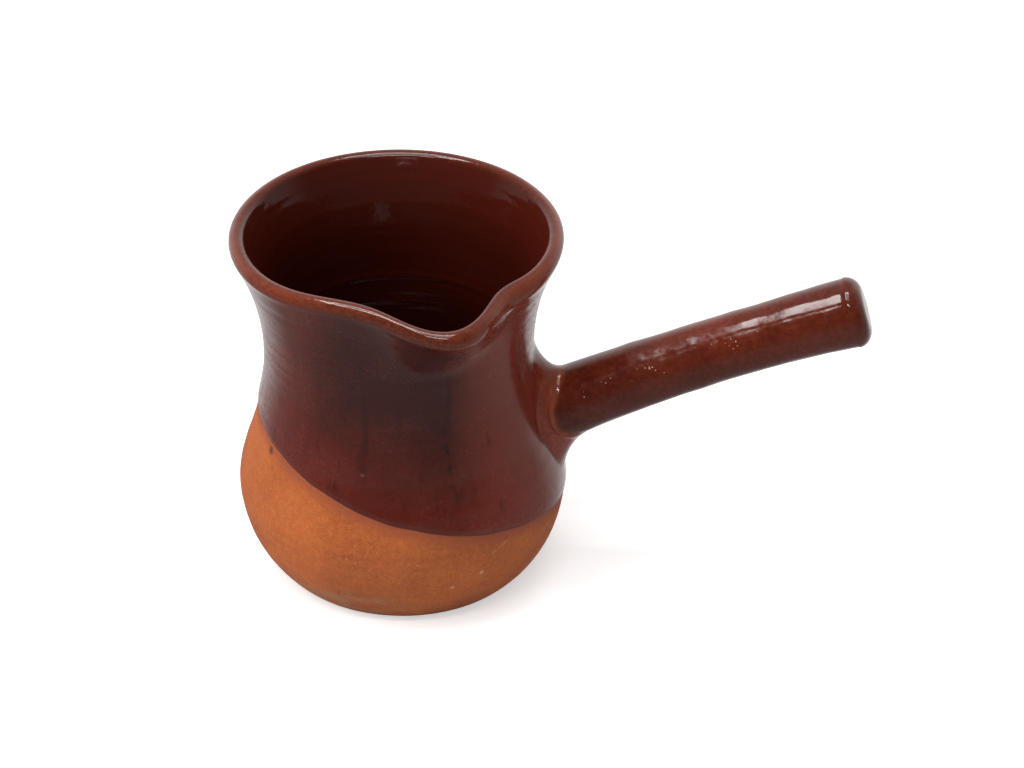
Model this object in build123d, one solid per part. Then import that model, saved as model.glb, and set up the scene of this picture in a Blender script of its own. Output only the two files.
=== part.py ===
# Turkish coffee pot (cezve) in terracotta, thrown on the wheel and dipped in dark brown glaze,
# with a pinched pouring spout in the flared mouth and a hand-rolled stick handle luted to its side.
# Millimetres. Origin: centre of the cut base on the table. +Z up, +X along the handle.
import os
from math import cos, exp, radians, sin

from build123d import *

# Overall
pot_height = 98.0          # table to the top of the clay lip
lean = 1.0                 # the mouth sits this far towards -X of the base
glaze = 0.35               # thickness of the fired coat

# Outside of the wall, as radius and height from the cut base up to the lip
outside = [(31.8, 0.0), (39.6, 10.5), (42.7, 23.0), (37.5, 45.0), (34.8, 62.0), (36.7, 80.0)]
# Inside of the wall, from the lip down to the edge of the flat floor
inside = [(32.9, 80.0), (31.0, 62.0), (33.2, 45.0), (38.0, 24.0), (34.4, 10.5), (20.0, 5.0)]

# Lip: a round bead on the end of the flare
lip_radius = 1.85          # of the bead's section
lip_centre_radius = 40.8   # of the ring that the bead follows
flare_angle = 27.0         # of the wall outwards from vertical where it meets the bead

# Mouth out of round. Azimuths are degrees from +X, widths are those of a bell curve.
mouth_start = 74.0         # height where the wall begins to follow the mouth's shape
spout_azimuth = -73.5
spout_reach = 10.3
spout_width = 12.2
spout_drop = 1.0
pinches = [(-98.0, 2.2, 20.0), (-45.0, 1.5, 8.0)]  # the fingers' dents: azimuth, depth, width
raise_azimuth = -112.0     # the rim pushed up by the same finger
raise_height = 1.2
raise_width = 17.0
droop_azimuth = -52.0      # the lip's outer edge rolled down on the spout's other flank
droop_depth = 2.3
droop_width = 20.0

# Handle: a solid stick that rises from the shoulder and levels off
root_reach = 34.5          # of the stick's buried end from the pot's axis
root_height = 42.6
root_rise = 25.0           # degrees above level at the root
end_rise = 16.0            # and at the free end
handle_length = 91.3
root_radius = 9.45
waist_radius = 8.2
end_radius = 9.2
waist_place = 0.6          # along the length
end_rounding = 4.2

# Collar: the coil worked round the root, drawn up and down the wall and thinned on to the stick
collar_tilt = 12.0         # its sections lean back this much from upright, like the wall
collar_length = 15.5       # from the stick's buried end
collar_foot = (12.6, 28.2) # half width and half height at the buried end
collar_tip = (8.6, 9.8)    # and where it runs out on the stick
collar_fade = (2.0, 1.6)  # how quickly each of the two falls

# The dip line is a level in the glaze bucket, so it is one tilted plane on the pot
dip_height = 37.1          # on the axis
dip_fall = 0.31            # height lost per millimetre towards the handle
dip_side = 0.07            # height gained per millimetre towards +Y

core_overrun = 8.0         # how far the cut between the two coats runs on above the lip
around = 48                # points in a section of the wall
wall_steps = 11            # sections along each side of the wall
lip_steps = 6
handle_steps = 8


def bump(azimuth, centre, width):
    away = (azimuth - centre + 180.0) % 360.0 - 180.0
    return exp(-((away / width) ** 2) / 2.0)


def wall_point(radius, height, share, azimuth):
    # share is 0 on the inside of the wall and 1 on the outside
    climb = min(max((height - mouth_start) / (pot_height - mouth_start), 0.0), 1.0)
    follow = climb * climb * (3.0 - 2.0 * climb)
    spout = bump(azimuth, spout_azimuth, spout_width)
    reach = spout_reach * spout
    for pinch_azimuth, pinch_depth, pinch_width in pinches:
        reach -= pinch_depth * bump(azimuth, pinch_azimuth, pinch_width)
    lift = raise_height * bump(azimuth, raise_azimuth, raise_width) - spout_drop * spout
    droop = share * droop_depth * bump(azimuth, droop_azimuth, droop_width)
    r = radius + follow * reach
    turn = radians(azimuth)
    x = r * cos(turn) - lean * height / pot_height
    return (x, r * sin(turn), height + follow * (lift - droop))


def along(edge, steps, skin, first=0):
    # points of an outline edge, moved off the clay by the skin's thickness
    points = []
    for step in range(first, steps + 1):
        place = edge @ (step / steps)
        tangent = edge % (step / steps)
        points.append((place.X + skin * tangent.Y, place.Y - skin * tangent.X))
    return points


def wall_outline(skin):
    # radius, height and share, up the outside, over the lip and down the inside
    bead = (lip_centre_radius, pot_height - lip_radius)
    lip = CenterArc(bead, lip_radius, -flare_angle, 180.0)
    flare = (sin(radians(flare_angle)), cos(radians(flare_angle)))
    outer = Spline(*outside, lip @ 0, tangents=[(0.75, 0.66), flare])
    inner = Spline(lip @ 1, *inside, tangents=[(-flare[0], -flare[1]), (-1.0, -0.12)])
    outline = [(r, z, 1.0) for r, z in along(outer, wall_steps, skin)]
    for step, (r, z) in enumerate(along(lip, lip_steps, skin, first=1), start=1):
        outline.append((r, z, 1.0 - step / lip_steps))
    outline += [(r, z, 0.0) for r, z in along(inner, wall_steps, skin, first=1)]
    return outline


def section(radius, height, share):
    points = []
    for step in range(around):
        points.append(wall_point(radius, height, share, 360.0 * step / around))
    parameters = [step / around for step in range(around + 1)]
    ring = Edge.make_spline([Vector(*p) for p in points], periodic=True, parameters=parameters)
    return Wire([ring])


def wall_solid(skin):
    outline = wall_outline(skin)
    first = (outline[0][0], 0.0, 1.0)
    return Solid.make_loft([section(*place) for place in [first] + outline[1:]])


def wall_core():
    # everything inside the middle of the wall's thickness, open upwards through the lip's crest
    outer = wall_outline(0.0)
    middle = []
    for (r, z, _), (inner_r, inner_z, _) in zip(outer[:wall_steps + 1], reversed(outer)):
        middle.append(((r + inner_r) / 2.0, (z + inner_z) / 2.0, 0.5))
    crest = pot_height - lip_radius
    middle[-1] = (lip_centre_radius, crest, 0.5)
    middle.append((lip_centre_radius, crest + core_overrun, 0.5))
    return Solid.make_loft([section(*place) for place in middle])


def axis_point(distance):
    # place and rise of the stick's centreline, an arc in the XZ plane
    bend = radians(end_rise - root_rise) / handle_length
    start = radians(root_rise)
    rise = start + bend * distance
    x = root_reach + (sin(rise) - sin(start)) / bend
    z = root_height - (cos(rise) - cos(start)) / bend
    return x, z, rise


def stick_radius(distance):
    place = distance / handle_length
    if place < waist_place:
        share = (waist_place - place) / waist_place
        return waist_radius + (root_radius - waist_radius) * share ** 2
    share = (place - waist_place) / (1.0 - waist_place)
    return waist_radius + (end_radius - waist_radius) * share ** 2


def stick(skin):
    length = handle_length + skin
    rings = []
    for step in range(handle_steps + 1):
        distance = length * step / handle_steps
        x, z, rise = axis_point(distance)
        plane = Plane(origin=(x, 0, z), x_dir=(0, 1, 0), z_dir=(cos(rise), 0, sin(rise)))
        rings.append(Wire.make_circle(stick_radius(distance) + skin, plane))
    blank = Solid.make_loft(rings)
    free_end = blank.faces().filter_by(GeomType.PLANE).sort_by(Axis.X)[-1]
    return blank.fillet(end_rounding + skin, free_end.edges())


def collar(skin):
    length = collar_length + skin
    lean_back = radians(collar_tilt)
    rings = []
    for step in range(handle_steps + 1):
        distance = length * step / handle_steps
        x, z, _ = axis_point(distance)
        plane = Plane(origin=(x, 0, z), x_dir=(0, 1, 0), z_dir=(cos(lean_back), 0, sin(lean_back)))
        left = max(1.0 - distance / collar_length, 0.0)
        half = []
        for foot, tip, fade in zip(collar_foot, collar_tip, collar_fade):
            half.append(tip + (foot - tip) * left ** fade + skin)
        rings.append(Wire([Edge.make_ellipse(*half, plane=plane)]))
    return Solid.make_loft(rings)


def largest(shape):
    return shape.solids().sort_by(SortBy.VOLUME)[-1]


def main():
    clay_wall = wall_solid(0.0)
    clay_stick = stick(0.0)
    clay_collar = collar(0.0)
    coat = stick(glaze) + collar(glaze)
    shell = wall_solid(glaze) - clay_wall
    core = wall_core()
    dip = Plane(origin=(0, 0, dip_height), z_dir=(dip_fall, -dip_side, 1.0))
    dipped = split(shell - core, bisect_by=dip, keep=Keep.TOP)
    nodes = {
        "pot_body": clay_wall,
        "handle": largest(clay_stick - clay_wall),
        "handle_collar": largest(clay_collar - clay_wall - clay_stick),
        "glaze_inside": largest(shell & core),
        "glaze_outside": largest(dipped - coat),
        "glaze_handle": largest(coat - clay_wall - clay_stick - clay_collar),
    }
    os.makedirs("parts", exist_ok=True)
    for name, shape in nodes.items():
        export_step(shape, f"parts/{name}.step")
        print(name, round(shape.volume, 1), shape.is_valid)


main()
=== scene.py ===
# Turkish coffee pot: a thrown terracotta pot with a pinched spout and a stick handle,
# dipped in dark brown glaze.
import math

import bpy
from mathutils import Matrix, Vector, noise


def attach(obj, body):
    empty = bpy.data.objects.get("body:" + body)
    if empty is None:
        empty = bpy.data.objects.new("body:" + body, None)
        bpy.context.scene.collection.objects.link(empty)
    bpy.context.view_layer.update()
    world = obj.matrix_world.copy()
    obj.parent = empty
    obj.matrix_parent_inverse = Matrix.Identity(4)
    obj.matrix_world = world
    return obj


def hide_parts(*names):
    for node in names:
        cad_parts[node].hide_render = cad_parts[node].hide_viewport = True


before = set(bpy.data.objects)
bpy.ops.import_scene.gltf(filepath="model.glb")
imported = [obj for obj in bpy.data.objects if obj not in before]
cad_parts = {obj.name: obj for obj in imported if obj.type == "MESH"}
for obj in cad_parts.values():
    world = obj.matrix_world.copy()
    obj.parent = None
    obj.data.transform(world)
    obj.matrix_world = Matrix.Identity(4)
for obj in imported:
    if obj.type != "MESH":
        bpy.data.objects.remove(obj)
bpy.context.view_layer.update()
print("frame loaded")

# sizes are millimetres, angles degrees; azimuth 0 is the handle's side, +X
wall = {
    "outside": [(31.8, 0.0), (39.6, 10.5), (42.7, 23.0), (37.5, 45.0), (34.8, 62.0), (36.7, 80.0)],
    "inside": [(32.9, 80.0), (31.0, 62.0), (33.2, 45.0), (38.0, 24.0), (34.4, 10.5), (20.0, 5.0)],
    "height": 98.0,
    "lipRadius": 1.85,
    "lipCentre": 40.8,
    "flare": 27.0,         # lean of the wall where it meets the lip
    "footRounding": 1.1,
    "turns": 256,
    "baseRings": 12,       # rings of points on each stretch of the bare clay
    "outsideRings": 109,
    "lipRings": 8,
    "insideRings": 40,
}
farOff = 90.0              # stands for "nowhere near" in the distances that the pieces carry


def smoothRun(points, start, end, pieces=40):
    # a smooth curve through the points, leaving and arriving in the given directions
    places = [Vector(p) for p in points]
    gaps = [(b - a).length for a, b in zip(places, places[1:])]
    slopes = [Vector(start).normalized()]
    for i in range(1, len(places) - 1):
        left, right = gaps[i - 1], gaps[i]
        back = (places[i] - places[i - 1]) / left
        ahead = (places[i + 1] - places[i]) / right
        slopes.append((back * right + ahead * left) / (left + right))
    slopes.append(Vector(end).normalized())
    run = []
    for i, gap in enumerate(gaps):
        for step in range(pieces):
            t = step / pieces
            run.append(places[i] * (2 * t**3 - 3 * t**2 + 1) + slopes[i] * gap * (t**3 - 2 * t**2 + t)
                       + places[i + 1] * (3 * t**2 - 2 * t**3) + slopes[i + 1] * gap * (t**3 - t**2))
    run.append(places[-1])
    return run


def wallRuns():
    # the outside, the lip and the inside of the wall as three runs of (radius, height)
    flare = math.radians(wall["flare"])
    centre = Vector((wall["lipCentre"], wall["height"] - wall["lipRadius"]))
    lip = []
    for step in range(41):
        turn = math.pi * step / 40 - flare
        lip.append(centre + wall["lipRadius"] * Vector((math.cos(turn), math.sin(turn))))
    rising = (math.sin(flare), math.cos(flare))
    outer = smoothRun(wall["outside"] + [lip[0]], (0.75, 0.66), rising)
    inner = smoothRun([lip[-1]] + wall["inside"], (-rising[0], -rising[1]), (-1.0, -0.12))
    return outer, lip, inner


outerRun, lipRun, innerRun = wallRuns()


def placeOn(run, share):
    # point and outward direction at a share of a run's points
    spot = min(max(share, 0.0), 1.0) * (len(run) - 1)
    k = min(int(spot), len(run) - 2)
    along = (run[k + 1] - run[k]).normalized()
    return run[k].lerp(run[k + 1], spot - k), Vector((along.y, -along.x))


def shareAt(height):
    # where the outside of the wall passes a height
    for k, (low, high) in enumerate(zip(outerRun, outerRun[1:])):
        if low.y <= height <= high.y:
            return (k + (height - low.y) / (high.y - low.y)) / (len(outerRun) - 1)
    return 0.0


def outsideRadius(height):
    return placeOn(outerRun, shareAt(height))[0].x


dip = {
    "height": 37.1,        # of the dip line on the pot's axis
    "fall": 0.31,          # per millimetre towards the handle
    "side": 0.07,          # rise per millimetre away from the spout
    # azimuth, width and rise of each sag or swell of the line
    "sags": [(-46, 26, 1.3), (-115, 30, -0.7), (-6, 14, -1.6), (60, 35, 0.9), (150, 40, -0.8)],
    "ripple": 0.35,
    "ripplesAround": 6.0,
    "rippleSeed": 2.7,
    "coat": 0.3,           # thickness of the glaze
    "bead": 0.05,          # extra where it gathers above the line
    "beadAt": (1.5, 1.1),  # height of the bead above the line, and its width
    "edge": 1.3,           # width of its rounded edge
    "edgeReach": 4.0,      # the rings lie closer together this far above the line
    "buried": 0.25,        # depth of the coat's hidden side in the clay
    # height, depth, azimuth and width of the throwing ridges inside
    "ridges": [(66.2, 0.42, 92, 42), (63.4, 0.18, 68, 14), (61.4, 0.12, 72, 12),
               (58.5, 0.30, 88, 9), (56.9, 0.28, 92, 8), (55.3, 0.26, 86, 9)],
    "ridgeWidth": 0.6,
    "crestAt": 0.4,        # of the way over the lip from outside
    "lipLength": 5.8,
    "outsideFromCrest": 2.5,
    "insideFromCrest": 3.5,
    "insideLength": 95.0,
    "spiral": 0.05,        # depth of the spiral on the floor
    "spiralTurn": 1.9,     # radians per millimetre
    "floorRadius": 19,
    "hiddenRings": 8,      # rings of points on each stretch of the coat
    "edgeRings": 15,
    "outsideRings": 80,
    "lipRings": 24,
    "insideRings": 150,
}


def bell(value, centre, width):
    away = (value - centre + 180.0) % 360.0 - 180.0
    return math.exp(-((away / width) ** 2) / 2.0)


def dipHeight(azimuth):
    turn = math.radians(azimuth)
    height = dip["height"]
    for _ in range(4):
        radius = outsideRadius(height)
        height = dip["height"] + radius * (dip["side"] * math.sin(turn) - dip["fall"] * math.cos(turn))
    for centre, width, rise in dip["sags"]:
        height += rise * bell(azimuth, centre, width)
    around = dip["ripplesAround"]
    place = Vector((math.cos(turn) * around, math.sin(turn) * around, dip["rippleSeed"]))
    return height + dip["ripple"] * noise.noise(place)


def lathe(name, rowsAt, turns, measures):
    # rowsAt(azimuth) gives one outline, pole to pole, as rows of radius, height and measures
    mesh = bpy.data.meshes.new(name)
    outlines = [rowsAt(360.0 * k / turns) for k in range(turns)]
    rows = len(outlines[0])
    points, values = [], []
    for k, outline in enumerate(outlines):
        turn = math.tau * k / turns
        for row in outline[1:-1]:
            points.append((row[0] * math.cos(turn), row[0] * math.sin(turn), row[1]))
            values.append(row[2:])
    first, last = len(points), len(points) + 1
    for row in (outlines[0][0], outlines[0][-1]):
        points.append((0.0, 0.0, row[1]))
        values.append(row[2:])
    inner = rows - 2
    faces = []
    for k in range(turns):
        here, there = k * inner, (k + 1) % turns * inner
        faces.append((first, there, here))
        for j in range(inner - 1):
            faces.append((here + j, there + j, there + j + 1, here + j + 1))
        faces.append((here + inner - 1, there + inner - 1, last))
    mesh.from_pydata(points, [], faces)
    for index, measure in enumerate(measures):
        layer = mesh.attributes.new(measure, "FLOAT", "POINT")
        layer.data.foreach_set("value", [value[index] for value in values])
    mesh.shade_smooth()
    piece = bpy.data.objects.new(name, mesh)
    bpy.context.scene.collection.objects.link(piece)
    return piece


def clayRows(azimuth):
    # the bare clay: cut base, outside, lip, inside and floor; share is 1 outside and 0 inside
    line = dipHeight(azimuth)
    rows = [(0.0, 0.0, 1.0, -line)]
    start, rounding = outerRun[0], wall["footRounding"]
    baseRings, outsideRings = wall["baseRings"], wall["outsideRings"]
    lipRings, insideRings = wall["lipRings"], wall["insideRings"]
    for step in range(1, baseRings + 1):
        rows.append(((start.x - rounding) * step / baseRings, 0.0, 1.0, -line))
    for step in range(1, outsideRings + 1):
        place, _ = placeOn(outerRun, step / outsideRings)
        if place.y < rounding * 0.4:
            continue
        rows.append((place.x, place.y, 1.0, place.y - line))
    for step in range(1, lipRings + 1):
        place, _ = placeOn(lipRun, step / lipRings)
        rows.append((place.x, place.y, 1.0 - step / lipRings, farOff))
    for step in range(1, insideRings + 1):
        place, _ = placeOn(innerRun, step / insideRings)
        rows.append((place.x, place.y, 0.0, farOff))
    for radius in (14.0, 7.0, 0.0):
        rows.append((radius, innerRun[-1].y, 0.0, farOff))
    return rows


def coatRows(azimuth):
    # the glaze on the pot: its hidden side from the floor's middle over the lip to the dip line,
    # then its face up the outside, over the lip and down inside; the measures are the share,
    # the distance from the lip's crest and the distance above the dip line
    start = shareAt(dipHeight(azimuth))
    outerLength = sum((b - a).length for a, b in zip(outerRun, outerRun[1:]))
    floorTop, skin = innerRun[-1].y, dip["coat"]
    rows = [(0.0, floorTop - dip["buried"], 0.0, farOff, farOff)]

    def add(run, place, thick, side, lip, above):
        point, out = placeOn(run, place)
        point = point + out * thick
        rows.append((max(point.x, 0.0), point.y, side, lip, above))

    hiddenRings = dip["hiddenRings"]
    for run, side, low in ((innerRun, 0.0, 0.0), (lipRun, 0.5, 0.0), (outerRun, 1.0, start)):
        for step in range(hiddenRings, -1, -1):
            place = low + (1.0 - low) * step / hiddenRings
            add(run, place, -dip["buried"], side, farOff, farOff)

    edgeRings, edgeReach = dip["edgeRings"], dip["edgeReach"]
    beadHeight, beadWidth = dip["beadAt"]
    for step in range(edgeRings + 1):
        above = edgeReach * (step / edgeRings) ** 1.8
        rounded = math.sqrt(1.0 - (1.0 - min(above / dip["edge"], 1.0)) ** 2)
        bead = dip["bead"] * math.exp(-((above - beadHeight) / beadWidth) ** 2)
        add(outerRun, start + above / outerLength, (skin + bead) * rounded, 1.0, farOff, above)

    begin = start + edgeReach / outerLength
    for step in range(1, dip["outsideRings"] + 1):
        place = begin + (1.0 - begin) * step / dip["outsideRings"]
        fromCrest = (1.0 - place) * outerLength + dip["outsideFromCrest"]
        add(outerRun, place, skin, 1.0, fromCrest, (place - start) * outerLength)

    for step in range(1, dip["lipRings"] + 1):
        place = step / dip["lipRings"]
        add(lipRun, place, skin, 1.0 - place, abs(place - dip["crestAt"]) * dip["lipLength"], farOff)

    for step in range(1, dip["insideRings"] + 1):
        place = step / dip["insideRings"]
        level = placeOn(innerRun, place)[0].y
        ridge = sum(depth * bell(azimuth, centre, width)
                    * math.exp(-((level - height) / dip["ridgeWidth"]) ** 2)
                    for height, depth, centre, width in dip["ridges"])
        fromCrest = dip["insideFromCrest"] + place * dip["insideLength"]
        add(innerRun, place, skin + ridge, 0.0, fromCrest, farOff)

    for radius in range(dip["floorRadius"], -1, -1):
        spiral = dip["spiral"] * math.sin(radius * dip["spiralTurn"] + math.radians(azimuth))
        spiral *= min(radius / 4.0, 1.0)
        rows.append((float(radius), floorTop + skin + spiral, 0.0, farOff, farOff))
    return rows


mouth = {
    "Mouth Start": 74.0,       # height where the wall begins to follow the mouth
    "Pot Height": 98.0,
    "Lean": 1.0,
    "Spout Azimuth": -73.5,
    "Spout Reach": 10.3,
    "Spout Width": 12.2,
    "Spout Drop": 1.0,
    "Pinch Azimuth": -98.0,
    "Pinch Depth": 2.2,
    "Pinch Width": 20.0,
    "Thumb Azimuth": -45.0,
    "Thumb Depth": 1.5,
    "Thumb Width": 8.0,
    "Raise Azimuth": -112.0,
    "Raise Height": 1.2,
    "Raise Width": 17.0,
    "Droop Azimuth": -52.0,
    "Droop Depth": 2.3,
    "Droop Width": 20.0,
    "Ring Depth": 0.09,        # throwing rings left by the fingers
    "Ring Spacing": 2.6,
    "Unevenness": 0.12,
}


def onPot(azimuth, height):
    # a place on the outside of the clay
    radius, turn = outsideRadius(height), math.radians(azimuth)
    x = radius * math.cos(turn) - mouth["Lean"] * height / wall["height"]
    return (x, radius * math.sin(turn), height)


def startTree(name, inputs):
    # a geometry tree with a named input for each size
    tree = bpy.data.node_groups.new(name, "GeometryNodeTree")
    tree.is_modifier = True
    tree.interface.new_socket("Geometry", in_out="INPUT", socket_type="NodeSocketGeometry")
    for label, value in inputs.items():
        kind = "NodeSocketInt" if isinstance(value, int) else "NodeSocketFloat"
        tree.interface.new_socket(label, in_out="INPUT", socket_type=kind).default_value = value
    tree.interface.new_socket("Material", in_out="INPUT", socket_type="NodeSocketMaterial")
    tree.interface.new_socket("Geometry", in_out="OUTPUT", socket_type="NodeSocketGeometry")
    return tree, tree.nodes.new("NodeGroupInput"), tree.nodes.new("NodeGroupOutput")


def addNode(tree, kind, *values, **settings):
    # a node whose sockets are given in order: a socket to link from, or a value; None leaves one alone
    made = tree.nodes.new(kind)
    for setting, value in settings.items():
        setattr(made, setting, value)
    for socket, value in zip(made.inputs, values):
        if isinstance(value, bpy.types.NodeSocket):
            tree.links.new(value, socket)
        elif value is not None:
            socket.default_value = value
    return made


def calc(tree, operation, a, b=0.0, c=0.0):
    return addNode(tree, "ShaderNodeMath", a, b, c, operation=operation).outputs[0]


def between(tree, value, low, high, start=0.0, end=1.0):
    # goes smoothly from start to end while the value goes from low to high
    made = addNode(tree, "ShaderNodeMapRange", value, low, high, start, end, interpolation_type="SMOOTHSTEP")
    return made.outputs[0]


def bellNodes(tree, azimuth, centre, width):
    away = calc(tree, "WRAP", calc(tree, "SUBTRACT", azimuth, centre), 180.0, -180.0)
    ratio = calc(tree, "DIVIDE", away, width)
    return calc(tree, "EXPONENT", calc(tree, "MULTIPLY", calc(tree, "MULTIPLY", ratio, ratio), -0.5))


def centred(tree, value, amount):
    # a 0 to 1 value turned into one from minus the amount to plus the amount
    doubled = calc(tree, "MULTIPLY", amount, 2.0)
    return calc(tree, "MULTIPLY", calc(tree, "SUBTRACT", value, 0.5), doubled)


def finishTree(tree, geometry, given, out):
    real = addNode(tree, "GeometryNodeRealizeInstances", geometry)
    dressed = addNode(tree, "GeometryNodeSetMaterial", real.outputs[0], None, given.outputs["Material"])
    tree.links.new(dressed.outputs[0], out.inputs[0])


def shapedWallTree():
    # pulls a plain thrown wall into the pot's own: leaning, spout and pinch, rings and an uneven hand
    tree, given, out = startTree("shapedWall", mouth)
    size = given.outputs
    place = addNode(tree, "GeometryNodeInputPosition").outputs[0]
    split = addNode(tree, "ShaderNodeSeparateXYZ", place).outputs
    x, y, z = split[0], split[1], split[2]
    turn = calc(tree, "ARCTAN2", y, x)
    azimuth = calc(tree, "DEGREES", turn)
    squares = calc(tree, "ADD", calc(tree, "MULTIPLY", x, x), calc(tree, "MULTIPLY", y, y))
    radius = calc(tree, "SQRT", squares)
    side = addNode(tree, "GeometryNodeInputNamedAttribute", "share", data_type="FLOAT").outputs[0]

    follow = between(tree, z, size["Mouth Start"], size["Pot Height"])
    spout = bellNodes(tree, azimuth, size["Spout Azimuth"], size["Spout Width"])
    pinch = bellNodes(tree, azimuth, size["Pinch Azimuth"], size["Pinch Width"])
    lifted = bellNodes(tree, azimuth, size["Raise Azimuth"], size["Raise Width"])
    drooped = bellNodes(tree, azimuth, size["Droop Azimuth"], size["Droop Width"])
    thumb = bellNodes(tree, azimuth, size["Thumb Azimuth"], size["Thumb Width"])
    reach = calc(tree, "SUBTRACT", calc(tree, "MULTIPLY", spout, size["Spout Reach"]),
                 calc(tree, "MULTIPLY", pinch, size["Pinch Depth"]))
    reach = calc(tree, "SUBTRACT", reach, calc(tree, "MULTIPLY", thumb, size["Thumb Depth"]))
    lift = calc(tree, "SUBTRACT", calc(tree, "MULTIPLY", lifted, size["Raise Height"]),
                calc(tree, "MULTIPLY", spout, size["Spout Drop"]))
    droop = calc(tree, "MULTIPLY", calc(tree, "MULTIPLY", drooped, size["Droop Depth"]), side)
    lift = calc(tree, "SUBTRACT", lift, droop)

    turns = calc(tree, "DIVIDE", azimuth, 360.0)
    spiral = calc(tree, "ADD", calc(tree, "DIVIDE", z, size["Ring Spacing"]), turns)
    rings = addNode(tree, "ShaderNodeTexNoise", None, spiral, 1.0, 2.0, noise_dimensions="1D").outputs[0]
    rings = centred(tree, rings, size["Ring Depth"])
    hand = addNode(tree, "ShaderNodeTexNoise", place, None, 0.045, 1.0).outputs[0]
    hand = centred(tree, hand, size["Unevenness"])
    steady = addNode(tree, "ShaderNodeMapRange", radius, 0.0, 12.0, 0.0, 1.0).outputs[0]

    grown = calc(tree, "MULTIPLY", calc(tree, "ADD", rings, hand), steady)
    grown = calc(tree, "ADD", calc(tree, "MULTIPLY", follow, reach), grown)
    radius = calc(tree, "ADD", radius, grown)
    tilt = calc(tree, "MULTIPLY", calc(tree, "DIVIDE", z, size["Pot Height"]), size["Lean"])
    newX = calc(tree, "SUBTRACT", calc(tree, "MULTIPLY", radius, calc(tree, "COSINE", turn)), tilt)
    newY = calc(tree, "MULTIPLY", radius, calc(tree, "SINE", turn))
    newZ = calc(tree, "ADD", z, calc(tree, "MULTIPLY", follow, lift))
    moved = addNode(tree, "ShaderNodeCombineXYZ", newX, newY, newZ).outputs[0]
    shaped = addNode(tree, "GeometryNodeSetPosition", given.outputs[0], None, moved)
    finishTree(tree, shaped.outputs[0], given, out)
    return tree


def grow(name, source, tree, values, material):
    # runs a geometry tree on a mesh object and keeps the result as a plain mesh, in metres
    live = source.modifiers.new("grow", "NODES")
    live.node_group = tree
    for item in tree.interface.items_tree:
        if item.item_type == "SOCKET" and item.in_out == "INPUT" and item.name in values:
            live[item.identifier] = values[item.name]
        if item.item_type == "SOCKET" and item.name == "Material":
            live[item.identifier] = material
    bpy.context.view_layer.update()
    ready = source.evaluated_get(bpy.context.evaluated_depsgraph_get())
    mesh = bpy.data.meshes.new_from_object(ready)
    source.modifiers.remove(live)
    bpy.data.objects.remove(source)
    return finishPiece(name, mesh)


def finishPiece(name, mesh):
    mesh.transform(Matrix.Scale(0.001, 4))
    mesh.name = name
    mesh.shade_smooth()
    piece = bpy.data.objects.new(name, mesh)
    bpy.context.scene.collection.objects.link(piece)
    return piece


handle = {
    "root": (34.5, 42.6),      # its buried end: out from the axis, and height
    "rise": (25.0, 16.0),      # degrees above level at the root and at the end
    "length": 91.3,
    "radii": (9.45, 8.2, 9.2),  # root, waist, end
    "waistAt": 0.6,
    "rounding": 4.5,
    "coat": 0.3,
    "around": 112,
    # half width, half height and middle of the flare where it meets the wall
    "foot": (11.9, 19.6, 45.6),
    # where it ends on the stick: at the sides, more on top, more below
    "runOut": (6.6, 7.0, 8.0),
    "curve": (0.25, 0.42),     # how long it holds its direction, leaving and arriving
    # height, place and width of the swell and the crease that the fingers left on it
    "worked": [(0.75, 0.82, 0.07), (-0.08, 0.97, 0.05)],
    "dome": 0.02,              # how far the end swells, as a share of its rounding
    "dents": 0.16,
    "flareRings": 24,          # rings of points on each stretch
    "stickRings": 80,
    "cornerRings": 12,
    "endRings": 8,
    "creaseRing": 22,          # where the coat is worn thin, with a painted highlight along the crease
    "collarFade": 4.0,         # rings over which the collar's look gives way to the stick's
    "rootPole": (33.0, 0.0, 45.0),
}


def stickAt(distance):
    # centre and direction of the stick's gently levelling arc
    bend = math.radians(handle["rise"][1] - handle["rise"][0]) / handle["length"]
    start = math.radians(handle["rise"][0])
    rise = start + bend * distance
    x = handle["root"][0] + (math.sin(rise) - math.sin(start)) / bend
    z = handle["root"][1] - (math.cos(rise) - math.cos(start)) / bend
    return Vector((x, 0.0, z)), Vector((math.cos(rise), 0.0, math.sin(rise)))


def stickRadius(distance):
    root, waist, end = handle["radii"]
    place, waistAt = distance / handle["length"], handle["waistAt"]
    if place < waistAt:
        return waist + (root - waist) * ((waistAt - place) / waistAt) ** 2
    return waist + (end - waist) * ((place - waistAt) / (1.0 - waistAt)) ** 2


def onWall(y, z, thick):
    # a point on the +X side of the wall, thick millimetres off the clay
    radius = outsideRadius(z) + thick
    return Vector((math.sqrt(radius * radius - y * y) - mouth["Lean"] * z / wall["height"], y, z))


def outward(forward, angle):
    # square to the stick; angle 0 points to the spout's side and a quarter turn points up
    upward = Vector((-forward.z, 0.0, forward.x))
    return Vector((0.0, -math.cos(angle), 0.0)) + upward * math.sin(angle)


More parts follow.
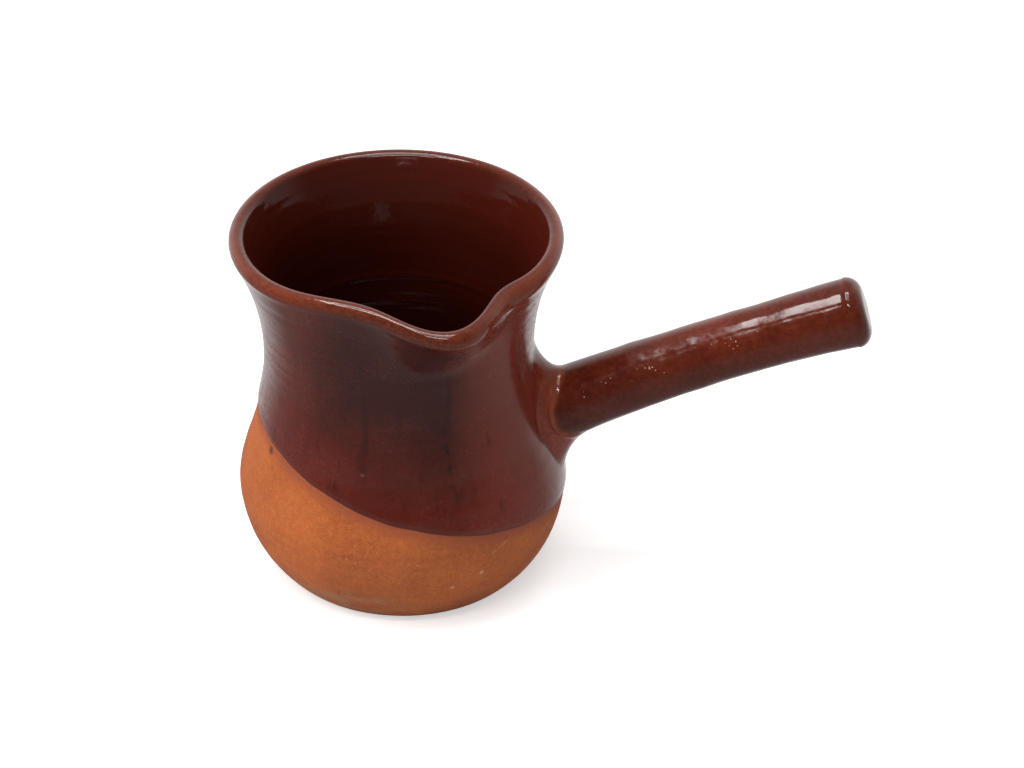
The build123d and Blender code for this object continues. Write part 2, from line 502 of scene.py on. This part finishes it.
def handleRows():
    # rings of points from inside the wall, up the flare, along the stick and round its end
    angles = [math.tau * k / handle["around"] for k in range(handle["around"])]
    halfWide, halfHigh, middle = handle["foot"]
    side, top, under = handle["runOut"]
    leaving, arriving = handle["curve"]
    sunk, flares, runOuts = [], [], []
    for angle in angles:
        c, s = math.cos(angle), math.sin(angle)
        foot = onWall(-halfWide * c, middle + halfHigh * s, dip["coat"] - 0.05)
        sunk.append(onWall(-halfWide * 1.12 * c, middle + halfHigh * 1.07 * s, -0.6))
        runOut = side + (top if s > 0 else under) * s * s
        centre, forward = stickAt(runOut)
        away = outward(forward, angle)
        landing = centre + away * (stickRadius(runOut) + handle["coat"])
        reach = (landing - foot).length
        across = onWall(-halfWide * 0.9 * c, middle + halfHigh * 0.9 * s, dip["coat"]) - foot
        leave = foot + across.normalized() * reach * leaving
        arrive = landing - forward * reach * arriving
        flares.append((foot, leave, arrive, landing, away, (1.0 - s * s) ** 1.5))
        runOuts.append(runOut)

    rings = [sunk]
    for step in range(handle["flareRings"] + 1):
        t = step / handle["flareRings"]
        worked = sum(height * math.exp(-((t - at) / width) ** 2) for height, at, width in handle["worked"])
        ring = []
        for a, b, c, d, away, sideways in flares:
            point = a * (1 - t)**3 + b * 3 * t * (1 - t)**2 + c * 3 * t * t * (1 - t) + d * t**3
            ring.append(point + away * worked * sideways)
        rings.append(ring)

    last = handle["length"] + handle["coat"]
    rounding = handle["rounding"]
    for step in range(1, handle["stickRings"] + 1):
        ring = []
        for angle, runOut in zip(angles, runOuts):
            distance = runOut + (last - rounding - runOut) * step / handle["stickRings"]
            centre, forward = stickAt(distance)
            ring.append(centre + outward(forward, angle) * (stickRadius(distance) + handle["coat"]))
        rings.append(ring)

    centre, forward = stickAt(last - rounding)
    full = stickRadius(last) + handle["coat"]
    cornerRings, endRings = handle["cornerRings"], handle["endRings"]
    for step in range(1, cornerRings + endRings + 1):
        if step <= cornerRings:
            turn = math.radians(90.0 * step / cornerRings)
            ahead = rounding * math.sin(turn) * (1.0 - handle["dome"])
            wide = full - rounding * (1.0 - math.cos(turn))
        else:
            wide = (full - rounding) * (1.0 - (step - cornerRings) / (endRings + 1))
            ahead = rounding * (1.0 - handle["dome"] * (wide / (full - rounding)) ** 2)
        rings.append([centre + forward * ahead + outward(forward, angle) * wide for angle in angles])
    return rings, centre + forward * rounding


def handleMesh():
    rings, tip = handleRows()
    around = handle["around"]
    crease, rim = handle["creaseRing"], len(rings) - 14
    points = []
    shares = {"thinAndLit": [], "collar": [], "under": []}
    for index, ring in enumerate(rings):
        onCollar = min(max((crease + 2 - index) / handle["collarFade"], 0.0), 1.0)
        # lighter bands on the collar, the crease and round the end's rim: partly the coat worn thin, partly
        # painted light lifting the collar and painted highlights on the crease and the rim
        wornAndLit = 0.60 * min(max((index - 3) / 12.0, 0.0), 1.0) * onCollar
        atCrease = math.exp(-((index - crease) / 2.2) ** 2)
        atRim = 0.2 * math.exp(-((index - rim) / 5.0) ** 2)
        wornAndLit = max(wornAndLit, atCrease, atRim)
        for k, point in enumerate(ring):
            dent = noise.noise(point * 0.11 + Vector((3.1, 0.0, 0.0)))
            dent += 0.35 * noise.noise(point * 0.33)
            middle = stickAt(max(point.x - handle["root"][0], 0.0) * 1.08)[0]
            fade = min(index / 20.0, 1.0)
            points.append(point + (point - middle).normalized() * handle["dents"] * (dent - 0.35) * fade)
            shares["thinAndLit"].append(wornAndLit)
            shares["collar"].append(onCollar)
            # 0 on top of the stick, 1 underneath; it carries the painted shade
            shares["under"].append(0.5 - 0.5 * math.sin(math.tau * k / around))
    faces = []
    for j in range(len(rings) - 1):
        for k in range(around):
            n = (k + 1) % around
            faces.append((j * around + k, (j + 1) * around + k, (j + 1) * around + n, j * around + n))
    rootPole, tipPole = len(points), len(points) + 1
    points += [Vector(handle["rootPole"]), tip]
    lastRing = (len(rings) - 1) * around
    for k in range(around):
        n = (k + 1) % around
        faces.append((rootPole, k, n))
        faces.append((tipPole, lastRing + n, lastRing + k))
    mesh = bpy.data.meshes.new("handleCoat")
    mesh.from_pydata([tuple(p) for p in points], [], faces)
    for name, values in shares.items():
        mesh.attributes.new(name, "FLOAT", "POINT").data.foreach_set("value", values + [0.5, 0.5])
    return mesh


def startGroup(name, inputs, outputs):
    # a shader group that puts out only masks and heights that change over the surface
    group = bpy.data.node_groups.new(name, "ShaderNodeTree")
    for label, value in inputs.items():
        socket = group.interface.new_socket(label, in_out="INPUT", socket_type="NodeSocketFloat")
        socket.default_value = value
    for label in outputs:
        group.interface.new_socket(label, in_out="OUTPUT", socket_type="NodeSocketFloat")
    return group, group.nodes.new("NodeGroupInput").outputs, group.nodes.new("NodeGroupOutput").inputs


def millimetres(tree):
    place = addNode(tree, "ShaderNodeTexCoord").outputs["Object"]
    return addNode(tree, "ShaderNodeMapping", place, None, None, (1000.0, 1000.0, 1000.0)).outputs[0]


def cloud(tree, place, scale, detail=3.0, stretch=(1.0, 1.0, 1.0), low=0.32, high=0.68):
    # soft noise, 0 to 1; scale is in features per millimetre
    moved = addNode(tree, "ShaderNodeMapping", place, None, None, stretch).outputs[0]
    grey = addNode(tree, "ShaderNodeTexNoise", moved, None, scale, detail).outputs[0]
    return between(tree, grey, low, high)


def dots(tree, place, scale, size, share):
    # small round spots in a share of the cells
    cells = addNode(tree, "ShaderNodeTexVoronoi", place, None, scale)
    pick = addNode(tree, "ShaderNodeSeparateXYZ", cells.outputs["Color"]).outputs[0]
    chosen = calc(tree, "LESS_THAN", pick, share)
    return calc(tree, "MULTIPLY", between(tree, cells.outputs["Distance"], 0.0, size, 1.0, 0.0), chosen)


def mixColour(tree, factor, first, second):
    # each colour is a socket or three numbers
    pair = [one if isinstance(one, bpy.types.NodeSocket) else (*one, 1.0) for one in (first, second)]
    made = addNode(tree, "ShaderNodeMix", factor, None, None, None, None, None, *pair, data_type="RGBA")
    return made.outputs[2]


def attribute(tree, name):
    return addNode(tree, "ShaderNodeAttribute", attribute_name=name).outputs["Fac"]


def distanceTo(tree, place, centre):
    return addNode(tree, "ShaderNodeVectorMath", place, centre, operation="DISTANCE").outputs["Value"]


def spot(tree, place, centre, radius):
    # one soft round mark
    return between(tree, distanceTo(tree, place, centre), radius * 0.35, radius, 0.85, 0.0)


def stroke(tree, across, along, start, slant, half):
    # a thin straight mark through start; slant is its drift across for each millimetre along
    drift = calc(tree, "MULTIPLY", calc(tree, "SUBTRACT", along, start[1]), slant)
    middle = calc(tree, "ADD", drift, start[0])
    away = calc(tree, "ABSOLUTE", calc(tree, "SUBTRACT", across, middle))
    return between(tree, away, half * 0.25, half, 1.0, 0.0)


def glazeFlowGroup():
    # how the fired glaze lies: its tone, runs down the wall, pinholes and waxy skin
    group, given, out = startGroup("glazeFlow", {"Mottle": 0.9, "Runs": 1.0},
                                   ["Tone", "Runs", "Specks", "Dull", "Height"])
    place = millimetres(group)
    broad = cloud(group, place, 0.055, 3.0)
    mottle = cloud(group, place, given["Mottle"], 4.0)
    fine = cloud(group, place, 2.6, 2.0)
    runs = cloud(group, place, 0.30, 2.0, (1.0, 1.0, 0.07), 0.56, 0.80)
    specks = dots(group, place, 0.42, 0.12, 0.35)
    skin = cloud(group, place, 0.38, 2.0, low=0.2, high=0.8)
    tone = calc(group, "ADD", calc(group, "MULTIPLY", broad, 0.5), calc(group, "MULTIPLY", mottle, 0.3))
    group.links.new(calc(group, "ADD", tone, calc(group, "MULTIPLY", fine, 0.2)), out["Tone"])
    group.links.new(calc(group, "MULTIPLY", runs, given["Runs"]), out["Runs"])
    group.links.new(specks, out["Specks"])
    group.links.new(calc(group, "MULTIPLY", mottle, broad), out["Dull"])
    height = calc(group, "ADD", calc(group, "MULTIPLY", skin, 0.6), calc(group, "MULTIPLY", mottle, 0.12))
    group.links.new(calc(group, "SUBTRACT", height, calc(group, "MULTIPLY", specks, 0.35)), out["Height"])
    return group


def clayGrainGroup():
    # unglazed clay: fired tone, grains of grit, pits and the fine lines of throwing
    group, given, out = startGroup("clayGrain", {"Grit": 0.5, "Line Spacing": 1.6},
                                   ["Tone", "Grit", "Pits", "Lines", "Height"])
    place = millimetres(group)
    broad = cloud(group, place, 0.05, 3.0)
    grain = cloud(group, place, 2.4, 4.0, low=0.3, high=0.7)
    coarse = cloud(group, place, 0.8, 3.0)
    grit = dots(group, place, given["Grit"], 0.2, 0.2)
    pits = dots(group, place, 0.21, 0.12, 0.22)
    z = addNode(group, "ShaderNodeSeparateXYZ", place).outputs[2]
    level = calc(group, "DIVIDE", z, given["Line Spacing"])
    lines = addNode(group, "ShaderNodeTexNoise", None, level, 1.0, 3.0, noise_dimensions="1D").outputs[0]
    lines = calc(group, "MULTIPLY", between(group, lines, 0.3, 0.7), cloud(group, place, 0.07, 2.0))
    tone = calc(group, "ADD", calc(group, "MULTIPLY", broad, 0.30), calc(group, "MULTIPLY", coarse, 0.25))
    group.links.new(calc(group, "ADD", tone, calc(group, "MULTIPLY", grain, 0.45)), out["Tone"])
    for label, value in (("Grit", grit), ("Pits", pits), ("Lines", lines)):
        group.links.new(value, out[label])
    height = calc(group, "ADD", calc(group, "MULTIPLY", grain, 0.45), calc(group, "MULTIPLY", lines, 0.5))
    height = calc(group, "ADD", height, calc(group, "MULTIPLY", grit, 0.3))
    group.links.new(calc(group, "SUBTRACT", height, pits), out["Height"])
    return group


glazeFlow = glazeFlowGroup()
clayGrain = clayGrainGroup()


def startMaterial(name, group, values, roughness, bumpHeight, bumpShare):
    # a material with the group placed in it, its height already feeding the bump
    material = bpy.data.materials.new(name)
    material.use_nodes = True
    tree = material.node_tree
    shader = tree.nodes["Principled BSDF"]
    shader.inputs["Roughness"].default_value = roughness
    surface = addNode(tree, "ShaderNodeGroup", node_tree=group)
    for label, value in values.items():
        surface.inputs[label].default_value = value
    bump = addNode(tree, "ShaderNodeBump")
    bump.inputs["Strength"].default_value = bumpShare
    bump.inputs["Distance"].default_value = bumpHeight
    tree.links.new(surface.outputs["Height"], bump.inputs["Height"])
    tree.links.new(bump.outputs[0], shader.inputs["Normal"])
    return material, tree, shader, surface.outputs


glazeLook = {
    "dark": (0.044, 0.0058, 0.0038),   # thick, on the neck
    "red": (0.125, 0.0150, 0.0075),    # thinner, towards the dip line and the two sides
    "rightSide": (5.0, 27.0, 0.90),    # +X where it begins to redden, where it is reddest, how much
    "leftSide": (-10.0, -32.0, 0.8),
    "warm": (0.230, 0.0380, 0.0190),   # beside the handle, where it drained
    "warmSide": (10.0, 27.0, 0.6),
    "ringPit": onPot(-104, 47),        # a burst bubble
    "streak": (15.0, 34.0, -0.16),     # a dark run down the front: X and height of its foot, lean
    "streakHalf": 0.9,
    "inside": (0.043, 0.0054, 0.0027),
    # painted light: lighter near the lip, where more light falls into the mouth
    "innerRimLit": (0.070, 0.0088, 0.0040),
    "lip": (0.185, 0.0390, 0.0160),    # where it breaks thin over the rim
    "cuff": (0.340, 0.0850, 0.0420),   # on the collar, its crease and the end's rim: partly glaze worn thin, partly painted light
    "run": (0.018, 0.0035, 0.0025),    # a thick run down the wall
    "insideDeep": (0.036, 0.0042, 0.0022),
    "darkStreak": (0.014, 0.0030, 0.0020),
    "pitRim": (0.22, 0.11, 0.08),
    "speck": (0.16, 0.07, 0.05),
    "stickDeep": (0.050, 0.0060, 0.0030),
    "stickThin": (0.175, 0.0265, 0.0095),
    "stickUnderShade": (0.038, 0.0052, 0.0030),  # painted shade: darker towards the stick's underside
    "lipReach": (0.7, 3.7),            # millimetres from the crest
    "redReach": 34.0,                  # millimetres above the dip line
    "gloss": (0.08, 0.20),             # roughness inside and over the lip
    "waxy": (0.19, 0.34),              # and on the outside
}


def potGlaze():
    material, tree, shader, surface = startMaterial(
        "potGlaze", glazeFlow, {"Mottle": 0.9, "Runs": 1.0},
        roughness=0.1, bumpHeight=0.0002, bumpShare=0.2)
    side = attribute(tree, "share")
    fromLip = attribute(tree, "fromLip")
    fromEdge = attribute(tree, "fromEdge")
    tone = surface["Tone"]
    red = between(tree, fromEdge, 0.0, glazeLook["redReach"], 0.85, 0.0)
    place = millimetres(tree)
    x, y, z = addNode(tree, "ShaderNodeSeparateXYZ", place).outputs
    for start, full, most in (glazeLook["rightSide"], glazeLook["leftSide"]):
        red = calc(tree, "MAXIMUM", red, between(tree, x, start, full, 0.0, most))
    red = calc(tree, "ADD", red, calc(tree, "MULTIPLY", calc(tree, "SUBTRACT", tone, 0.5), 0.65))
    outer = mixColour(tree, calc(tree, "MAXIMUM", red, 0.0), glazeLook["dark"], glazeLook["red"])
    start, full, most = glazeLook["warmSide"]
    outer = mixColour(tree, between(tree, x, start, full, 0.0, most), outer, glazeLook["warm"])
    outer = mixColour(tree, calc(tree, "MULTIPLY", surface["Runs"], 0.5), outer, glazeLook["run"])
    inner = mixColour(tree, tone, glazeLook["insideDeep"], glazeLook["inside"])
    # painted light and shade: lighter within a few millimetres of the lip, darker further down inside
    inner = mixColour(tree, between(tree, fromLip, 3.0, 22.0, 0.9, 0.0), inner, glazeLook["innerRimLit"])
    footX, footZ, slant = glazeLook["streak"]
    streak = stroke(tree, x, z, (footX, footZ), slant, glazeLook["streakHalf"])
    streak = calc(tree, "MULTIPLY", streak, calc(tree, "LESS_THAN", y, 0.0))
    streak = calc(tree, "MULTIPLY", streak, between(tree, z, 62.0, 56.0, 0.0, 0.75))
    streak = calc(tree, "MULTIPLY", streak, cloud(tree, place, 0.16, 2.0, (0.6, 0.6, 1.0), 0.45, 0.6))
    outer = mixColour(tree, streak, outer, glazeLook["darkStreak"])
    pit = distanceTo(tree, place, glazeLook["ringPit"])
    ring = calc(tree, "MULTIPLY", between(tree, pit, 0.15, 0.35), between(tree, pit, 0.4, 0.7, 0.4, 0.0))
    outer = mixColour(tree, ring, outer, glazeLook["pitRim"])
    colour = mixColour(tree, between(tree, side, 0.2, 0.7), inner, outer)
    ragged = calc(tree, "ADD", fromLip, calc(tree, "MULTIPLY", calc(tree, "SUBTRACT", tone, 0.5), 3.2))
    breaks = between(tree, ragged, *glazeLook["lipReach"], 1.0, 0.0)
    breaks = calc(tree, "MULTIPLY", breaks, between(tree, tone, 0.1, 0.8, 0.35, 1.0))
    grainy = calc(tree, "ADD", calc(tree, "MULTIPLY", cloud(tree, place, 1.3, 3.0), 0.5), 0.5)
    breaks = calc(tree, "MULTIPLY", breaks, grainy)
    colour = mixColour(tree, breaks, colour, glazeLook["lip"])
    colour = mixColour(tree, calc(tree, "MULTIPLY", surface["Specks"], 0.3), colour, glazeLook["speck"])
    tree.links.new(colour, shader.inputs["Base Color"])
    gloss = between(tree, surface["Dull"], 0.0, 1.0, *glazeLook["gloss"])
    waxy = between(tree, surface["Dull"], 0.0, 1.0, *glazeLook["waxy"])
    onWallShare = calc(tree, "MULTIPLY", between(tree, side, 0.7, 1.0), between(tree, fromLip, 2.5, 9.0))
    rough = addNode(tree, "ShaderNodeMix", onWallShare, None, gloss, waxy).outputs[0]
    dryEdge = between(tree, fromEdge, 0.2, 2.0, 0.5, 0.0)
    tree.links.new(calc(tree, "MAXIMUM", rough, dryEdge), shader.inputs["Roughness"])
    return material


def handleGlaze():
    material, tree, shader, surface = startMaterial(
        "handleGlaze", glazeFlow, {"Mottle": 0.7, "Runs": 0.0},
        roughness=0.1, bumpHeight=0.0002, bumpShare=0.08)
    tone = surface["Tone"]
    stickColour = mixColour(tree, tone, glazeLook["stickDeep"], glazeLook["stickThin"])
    # painted shade: the stick darkens towards its underside, following the under share
    underShade = calc(tree, "MULTIPLY", attribute(tree, "under"), 0.6)
    stickColour = mixColour(tree, underShade, stickColour, glazeLook["stickUnderShade"])
    collarColour = mixColour(tree, tone, glazeLook["red"], glazeLook["warm"])
    colour = mixColour(tree, attribute(tree, "collar"), stickColour, collarColour)
    # partly glaze worn thin, partly painted light and painted highlights on the collar, crease and end rim
    thinAndLit = calc(tree, "MULTIPLY", attribute(tree, "thinAndLit"), between(tree, tone, 0.0, 0.8, 0.3, 0.8))
    colour = mixColour(tree, thinAndLit, colour, glazeLook["cuff"])
    colour = mixColour(tree, calc(tree, "MULTIPLY", surface["Specks"], 0.35), colour, glazeLook["speck"])
    tree.links.new(colour, shader.inputs["Base Color"])
    tree.links.new(between(tree, surface["Dull"], 0.0, 1.0, 0.11, 0.22), shader.inputs["Roughness"])
    return material


clayLook = {
    "pale": (0.60, 0.160, 0.037),
    "deep": (0.31, 0.064, 0.012),
    "halo": (0.32, 0.070, 0.032),      # where glaze water soaked in under the dip line
    "haloReach": 4.5,
    "grit": (0.62, 0.36, 0.20),
    # painted shade: the pits are darkened in colour
    "smallPitShade": (0.10, 0.030, 0.015),
    "deepPitShade": (0.09, 0.030, 0.016),
    "scuffed": (0.62, 0.34, 0.20),
    "stain": (0.38, 0.180, 0.080),
    "stainAt": onPot(-114, 5),
    "stainReach": 24.0,
    "pit": (onPot(-151, 43), 1.5),     # place and radius of a dark spot, painted shade of a pit
    "scuffs": [(onPot(-60, 17), 0.9), (onPot(-71, 14), 0.7)],
    "scratch": onPot(-53, 23.5),       # its middle
    "scratchRise": 0.6,
    "scratchHalf": (0.28, 2.6),        # half width and half length
}


def potTerracotta():
    material, tree, shader, surface = startMaterial(
        "potTerracotta", clayGrain, {"Grit": 0.5, "Line Spacing": 1.6},
        roughness=0.85, bumpHeight=0.0003, bumpShare=0.5)
    tone = calc(tree, "SUBTRACT", surface["Tone"], calc(tree, "MULTIPLY", surface["Lines"], 0.12))
    colour = mixColour(tree, tone, clayLook["deep"], clayLook["pale"])
    below = calc(tree, "MULTIPLY", attribute(tree, "aboveDip"), -1.0)
    halo = between(tree, below, 0.0, clayLook["haloReach"], 0.75, 0.0)
    colour = mixColour(tree, halo, colour, clayLook["halo"])
    place = millimetres(tree)
    away = distanceTo(tree, place, clayLook["stainAt"])
    patchy = cloud(tree, place, 0.16, 4.0, (1.0, 1.0, 2.2))
    x, y, z = addNode(tree, "ShaderNodeSeparateXYZ", place).outputs
    stain = calc(tree, "MULTIPLY", between(tree, away, 4.0, clayLook["stainReach"], 0.95, 0.0), patchy)
    stain = calc(tree, "MULTIPLY", stain, between(tree, z, 7.0, 15.0, 1.0, 0.0))
    colour = mixColour(tree, stain, colour, clayLook["stain"])
    colour = mixColour(tree, calc(tree, "MULTIPLY", surface["Grit"], 0.5), colour, clayLook["grit"])
    # painted shade in the small pits and in one larger pit
    colour = mixColour(tree, calc(tree, "MULTIPLY", surface["Pits"], 0.8), colour, clayLook["smallPitShade"])
    colour = mixColour(tree, spot(tree, place, *clayLook["pit"]), colour, clayLook["deepPitShade"])
    middle, (halfWide, halfLong) = clayLook["scratch"], clayLook["scratchHalf"]
    scratch = stroke(tree, z, x, (middle[2], middle[0]), clayLook["scratchRise"], halfWide)
    reach = calc(tree, "ABSOLUTE", calc(tree, "SUBTRACT", x, middle[0]))
    scratch = calc(tree, "MULTIPLY", scratch, between(tree, reach, halfLong * 0.5, halfLong, 0.6, 0.0))
    scratch = calc(tree, "MULTIPLY", scratch, calc(tree, "LESS_THAN", y, 0.0))
    scratch = calc(tree, "MULTIPLY", scratch, cloud(tree, place, 0.9, 2.0, low=0.35, high=0.6))
    colour = mixColour(tree, scratch, colour, clayLook["scuffed"])
    for centre, radius in clayLook["scuffs"]:
        colour = mixColour(tree, spot(tree, place, centre, radius), colour, clayLook["scuffed"])
    tree.links.new(colour, shader.inputs["Base Color"])
    tree.links.new(between(tree, surface["Tone"], 0.0, 1.0, 0.74, 0.92), shader.inputs["Roughness"])
    return material


def fleckGlintMaterial():
    material, tree, shader, surface = startMaterial(
        "paleFleckGlint", glazeFlow, {"Mottle": 1.4, "Runs": 0.0},
        roughness=0.12, bumpHeight=0.0001, bumpShare=0.2)
    # partly painted highlight: the pale colour stands for glints on the glaze pimples
    colour = mixColour(tree, surface["Tone"], (0.30, 0.12, 0.08), (0.72, 0.52, 0.44))
    tree.links.new(colour, shader.inputs["Base Color"])
    tree.links.new(between(tree, surface["Dull"], 0.0, 1.0, 0.08, 0.25), shader.inputs["Roughness"])
    return material


def buriedClay():
    # the handle's clay under its coat
    material, tree, shader, surface = startMaterial(
        "handleClay", clayGrain, {"Grit": 0.6, "Line Spacing": 3.0},
        roughness=0.85, bumpHeight=0.0003, bumpShare=0.5)
    colour = mixColour(tree, surface["Tone"], clayLook["deep"], clayLook["pale"])
    tree.links.new(colour, shader.inputs["Base Color"])
    return material


glaze, coating = potGlaze(), handleGlaze()
terracotta = potTerracotta()
print("materials made")

wallTree = shapedWallTree()
clayBlank = lathe("clayBlank", clayRows, wall["turns"], ["share", "aboveDip"])
potClay = grow("potClay", clayBlank, wallTree, mouth, terracotta)
coatBlank = lathe("coatBlank", coatRows, wall["turns"], ["share", "fromLip", "fromEdge"])
potCoat = grow("potCoat", coatBlank, wallTree, mouth, glaze)
handleCoat = finishPiece("handleCoat", handleMesh())
handleCoat.data.materials.append(coating)


flecks = {
    "Density": 0.30,           # per square millimetre before thinning
    "Smallest": 0.06,          # radius
    "Largest": 0.22,
    "Start": 46.0,             # how far out along +X they begin and end
    "End": 112.0,
    "Lowest": 0.32,            # how much the normal faces up at the edges of their band
    "Highest": 0.66,
    "Seed": 7,
}


def fleckTree():
    # pale specks proud of the glaze along the handle; their pale colour is partly painted highlight,
    # standing for glints, and they sit only on the band of the stick that faces partly up
    tree, given, out = startTree("glazeFlecks", flecks)
    size = given.outputs
    place = addNode(tree, "GeometryNodeInputPosition").outputs[0]
    normal = addNode(tree, "GeometryNodeInputNormal").outputs[0]
    x = addNode(tree, "ShaderNodeSeparateXYZ", place).outputs[0]
    up = addNode(tree, "ShaderNodeSeparateXYZ", normal).outputs[2]
    within = calc(tree, "GREATER_THAN", x, size["Start"])
    for test, value, limit in (("LESS_THAN", x, "End"), ("GREATER_THAN", up, "Lowest"),
                               ("LESS_THAN", up, "Highest")):
        within = calc(tree, "MULTIPLY", within, calc(tree, test, value, size[limit]))
    patchy = addNode(tree, "ShaderNodeTexNoise", place, None, 0.11, 1.0).outputs[0]
    patchy = addNode(tree, "ShaderNodeMapRange", patchy, 0.45, 0.7, 0.0, 1.0).outputs[0]
    density = calc(tree, "MULTIPLY", calc(tree, "MULTIPLY", within, patchy), size["Density"])
    spread = tree.nodes.new("GeometryNodeDistributePointsOnFaces")
    tree.links.new(given.outputs[0], spread.inputs["Mesh"])
    tree.links.new(density, spread.inputs["Density"])
    tree.links.new(size["Seed"], spread.inputs["Seed"])
    ball = tree.nodes.new("GeometryNodeMeshUVSphere")
    ball.inputs["Segments"].default_value = 8
    ball.inputs["Rings"].default_value = 6
    ball.inputs["Radius"].default_value = 1.0
    width = tree.nodes.new("FunctionNodeRandomValue")
    for socket in width.inputs:
        if socket.type == "VALUE" and socket.name in ("Min", "Max"):
            tree.links.new(size["Smallest" if socket.name == "Min" else "Largest"], socket)
    tree.links.new(size["Seed"], width.inputs["Seed"])
    scatter = tree.nodes.new("GeometryNodeInstanceOnPoints")
    tree.links.new(spread.outputs["Points"], scatter.inputs["Points"])
    tree.links.new(ball.outputs["Mesh"], scatter.inputs["Instance"])
    tree.links.new(next(o for o in width.outputs if o.type == "VALUE"), scatter.inputs["Scale"])
    finishTree(tree, scatter.outputs[0], given, out)
    return tree


handleBlank = bpy.data.objects.new("handleBlank", handleMesh())
bpy.context.scene.collection.objects.link(handleBlank)
glazeFlecks = grow("glazeFlecks", handleBlank, fleckTree(), flecks, fleckGlintMaterial())
print("pieces made")

hiddenClay = buriedClay()
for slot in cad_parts["handle"].material_slots:
    slot.material = hiddenClay

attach(potClay, "root")
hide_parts("pot_body")
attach(potCoat, "root")
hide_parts("glaze_inside", "glaze_outside")
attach(handleCoat, "root")
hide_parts("glaze_handle", "handle_collar")

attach(glazeFlecks, "root")

studio = {
    "floorSize": 6.0,
    "floorColour": (0.82, 0.82, 0.82, 1.0),
    "floorGlow": 0.55,         # seen by the camera only; makes the shadows paler
    "cameraAt": (0.0286, -1.0986, 0.7520),
    "cameraDown": 32.52,
    "lens": 175.8,
}
floorMesh = bpy.data.meshes.new("floor")
half = studio["floorSize"] / 2
corners = [(-half, -half, 0), (half, -half, 0), (half, half, 0), (-half, half, 0)]
floorMesh.from_pydata(corners, [], [(0, 1, 2, 3)])
floor = bpy.data.objects.new("floor", floorMesh)
bpy.context.scene.collection.objects.link(floor)
paleFloor = bpy.data.materials.new("paleFloor")
paleFloor.use_nodes = True
floorShader = paleFloor.node_tree.nodes["Principled BSDF"]
floorShader.inputs["Base Color"].default_value = studio["floorColour"]
floorShader.inputs["Roughness"].default_value = 0.9
seen = addNode(paleFloor.node_tree, "ShaderNodeLightPath").outputs["Is Camera Ray"]
paleFloor.node_tree.links.new(seen, floorShader.inputs["Emission Color"])
floorShader.inputs["Emission Strength"].default_value = studio["floorGlow"]
floorMesh.materials.append(paleFloor)
floor.visible_glossy = False       # the glaze mirrors the dim room below, not the lit floor

camera = bpy.data.objects.new("camera", bpy.data.cameras.new("camera"))
camera.location = studio["cameraAt"]
camera.rotation_euler = (math.radians(90.0 - studio["cameraDown"]), 0.0, 0.0)
camera.data.lens = studio["lens"]
camera.data.sensor_width = 36.0
bpy.context.scene.collection.objects.link(camera)
bpy.context.scene.camera = camera

room = {
    "front": 0.06,             # brightness of the walls by direction
    "back": 1.0,
    "left": 0.34,
    "right": 0.32,
    "floor": 0.30,
    "ceiling": (0.07, 0.45),   # over the front and over the back
    "wallTop": (0.30, 0.70),   # where the walls give way to the ceiling
    "strength": 1.0,
}


def roomLight():
    # a dim room with pale walls behind the pot and at its sides
    world = bpy.data.worlds.new("studio")
    bpy.context.scene.world = world
    world.use_nodes = True
    tree = world.node_tree
    toward = addNode(tree, "ShaderNodeTexCoord").outputs["Generated"]
    x, y, z = addNode(tree, "ShaderNodeSeparateXYZ", toward).outputs
    behind = between(tree, y, 0.05, 0.85, room["front"], room["back"])
    left = between(tree, x, -0.45, -0.9, 0.0, room["left"])
    right = between(tree, x, 0.45, 0.9, 0.0, room["right"])
    sides = calc(tree, "MULTIPLY", calc(tree, "MAXIMUM", left, right), between(tree, y, -0.45, 0.1))
    walls = calc(tree, "MAXIMUM", behind, sides)
    low = calc(tree, "MAXIMUM", walls, room["floor"])
    level = addNode(tree, "ShaderNodeMix", between(tree, z, -0.55, 0.3), None, low, walls).outputs[0]
    ceiling = between(tree, y, -0.35, 0.6, *room["ceiling"])
    upward = between(tree, z, *room["wallTop"])
    grey = addNode(tree, "ShaderNodeMix", upward, None, level, ceiling).outputs[0]
    background = tree.nodes["Background"]
    tree.links.new(grey, background.inputs["Color"])
    background.inputs["Strength"].default_value = room["strength"]


roomLight()
bpy.context.scene.view_settings.view_transform = "Standard"


lamps = {
    # place, width along X, depth along Y, brightness of its face; each faces straight down
    "overheadBack": ((-0.08, 0.22, 1.27), 0.84, 0.09, 14.0),
    "overheadFront": ((-0.08, -0.78, 1.27), 0.84, 0.12, 18.0),
    "overheadSide": ((-0.46, -0.10, 1.27), 0.12, 0.60, 13.0),
    "overheadMiddle": ((-0.02, -0.10, 1.27), 0.76, 0.55, 3.0),
}
softFill = {"place": (-1.0, -0.35, 0.95), "width": 0.9, "depth": 0.9, "brightness": 4.2}
frontWindow = {"place": (-0.25, -2.0, 1.15), "width": 0.5, "depth": 0.16, "brightness": 1.4}


def softbox(name, place, width, depth, brightness, target=None):
    lamp = bpy.data.lights.new(name, "AREA")
    lamp.shape = "RECTANGLE"
    lamp.size, lamp.size_y = width, depth
    lamp.energy = brightness * math.pi * width * depth
    box = bpy.data.objects.new(name, lamp)
    box.location = place
    if target:
        box.rotation_euler = (Vector(target) - Vector(place)).to_track_quat("-Z", "Y").to_euler()
    bpy.context.scene.collection.objects.link(box)
    return box


for name, (place, width, depth, brightness) in lamps.items():
    softbox(name, place, width, depth, brightness)
fill = softbox("softFill", *softFill.values(), target=(0.0, 0.0, 0.04))
fill.visible_glossy = False
softbox("frontWindow", *frontWindow.values(), target=(0.0, 0.0, 0.08))
